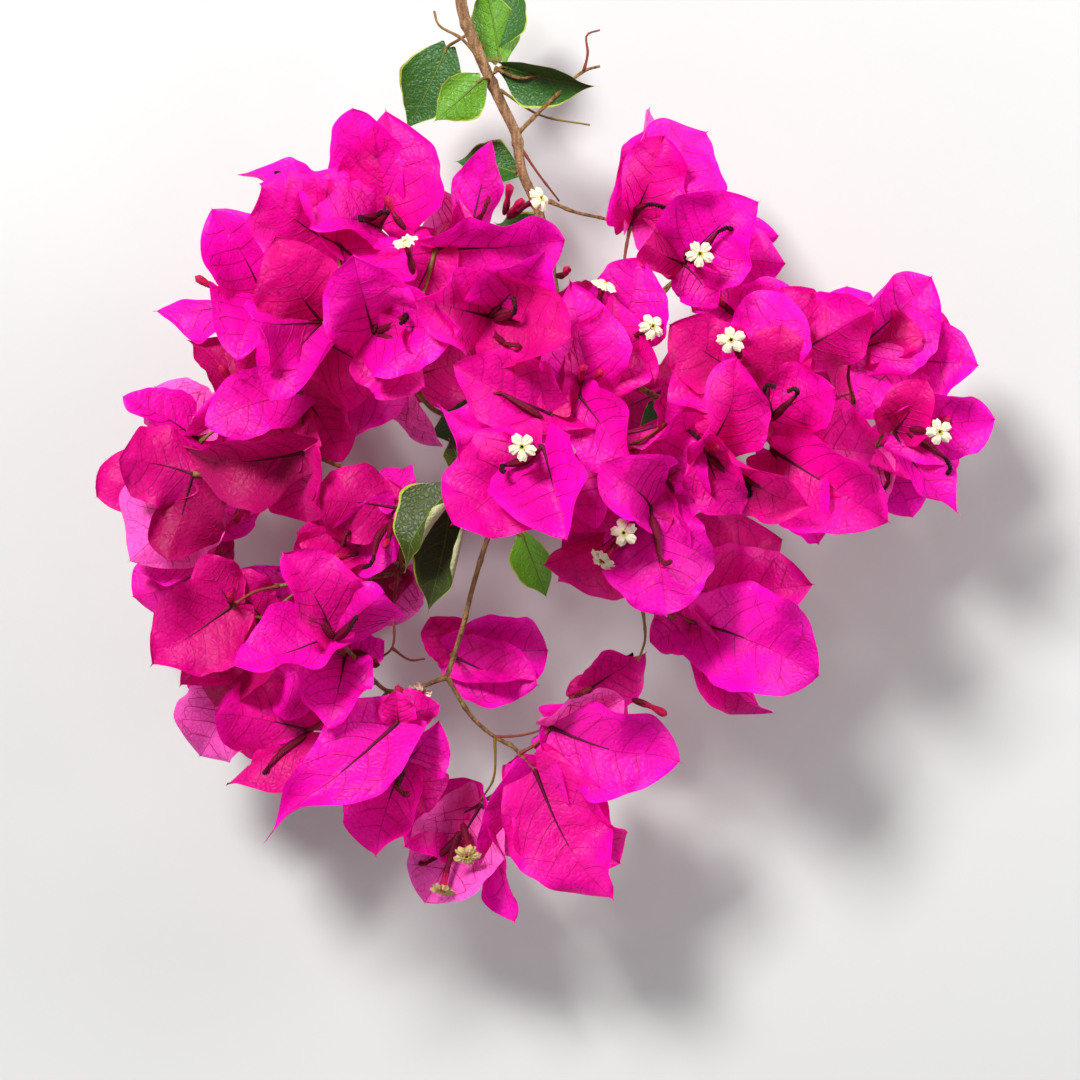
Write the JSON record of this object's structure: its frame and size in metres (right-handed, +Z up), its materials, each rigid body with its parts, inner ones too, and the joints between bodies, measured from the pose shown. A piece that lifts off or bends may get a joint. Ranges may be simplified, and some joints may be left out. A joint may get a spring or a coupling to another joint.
{
  "type": "cut bougainvillea spray",
  "caption": "A cut flowering bougainvillea branch lying flat, with papery three-bract blooms on stalks around one cane, to lay on a surface or fix in a planting.",
  "frame": {"origin": "the middle of the spray's box, at the surface that it lies on", "axes": "+Y towards the cut end of the cane, +X to the right of it as seen from above, +Z up from the surface"},
  "size_m": [0.2368, 0.2586, 0.1025],
  "materials": {
    "bark": "dry striped bark on the cane, green to red brown skin on the stalks",
    "bract": "papery, crinkled and half see-through, magenta with dark maroon veins",
    "leaf": "soft sheen, dark green above and paler below"
  },
  "bodies": {
    "root": {"cane": "bark", "stem_hanging": "bark", "bough_right": "bark", "bough_upper_right": "bark", "bough_upper_left": "bark", "bough_left": "bark", "bough_middle_left": "bark", "stem_lower_left": "bark", "stem_bottom": "bark", "stem_lower_right": "bark", "leaf_top": "leaf", "leaf_centre": "leaf", "bloom_upper_left_1": "bract", "bloom_upper_left_2": "bract", "bloom_upper_left_3": "bract", "bloom_upper_left_4": "bract", "bloom_upper_left_5": "bract", "bloom_upper_left_6": "bract", "bloom_upper_left_7": "bract", "bloom_centre_1": "bract", "bloom_centre_2": "bract", "bloom_centre_3": "bract", "bloom_centre_4": "bract", "bloom_centre_5": "bract", "bloom_centre_6": "bract", "bloom_centre_7": "bract", "bloom_centre_8": "bract", "bloom_right_1": "bract", "bloom_right_2": "bract", "bloom_right_3": "bract", "bloom_right_4": "bract", "bloom_right_5": "bract", "bloom_right_6": "bract", "bloom_upper_right_1": "bract", "bloom_upper_right_2": "bract", "bloom_upper_right_3": "bract", "bloom_upper_right_4": "bract", "bloom_left_1": "bract", "bloom_left_2": "bract", "bloom_left_3": "bract", "bloom_left_4": "bract", "bloom_left_5": "bract", "bloom_left_6": "bract", "bloom_left_7": "bract", "bloom_lower_left_1": "bract", "bloom_lower_left_2": "bract", "bloom_lower_left_3": "bract", "bloom_lower_left_4": "bract", "bloom_lower_left_5": "bract", "bloom_bottom_1": "bract", "bloom_bottom_2": "bract", "bloom_bottom_3": "bract", "bloom_bottom_4": "bract", "bloom_lower_right_1": "bract", "bloom_lower_right_2": "bract", "bloom_back_1": "bract", "bloom_back_2": "bract", "bloom_back_3": "bract", "bloom_back_4": "bract", "bloom_back_5": "bract"}
  },
  "joints": []
}
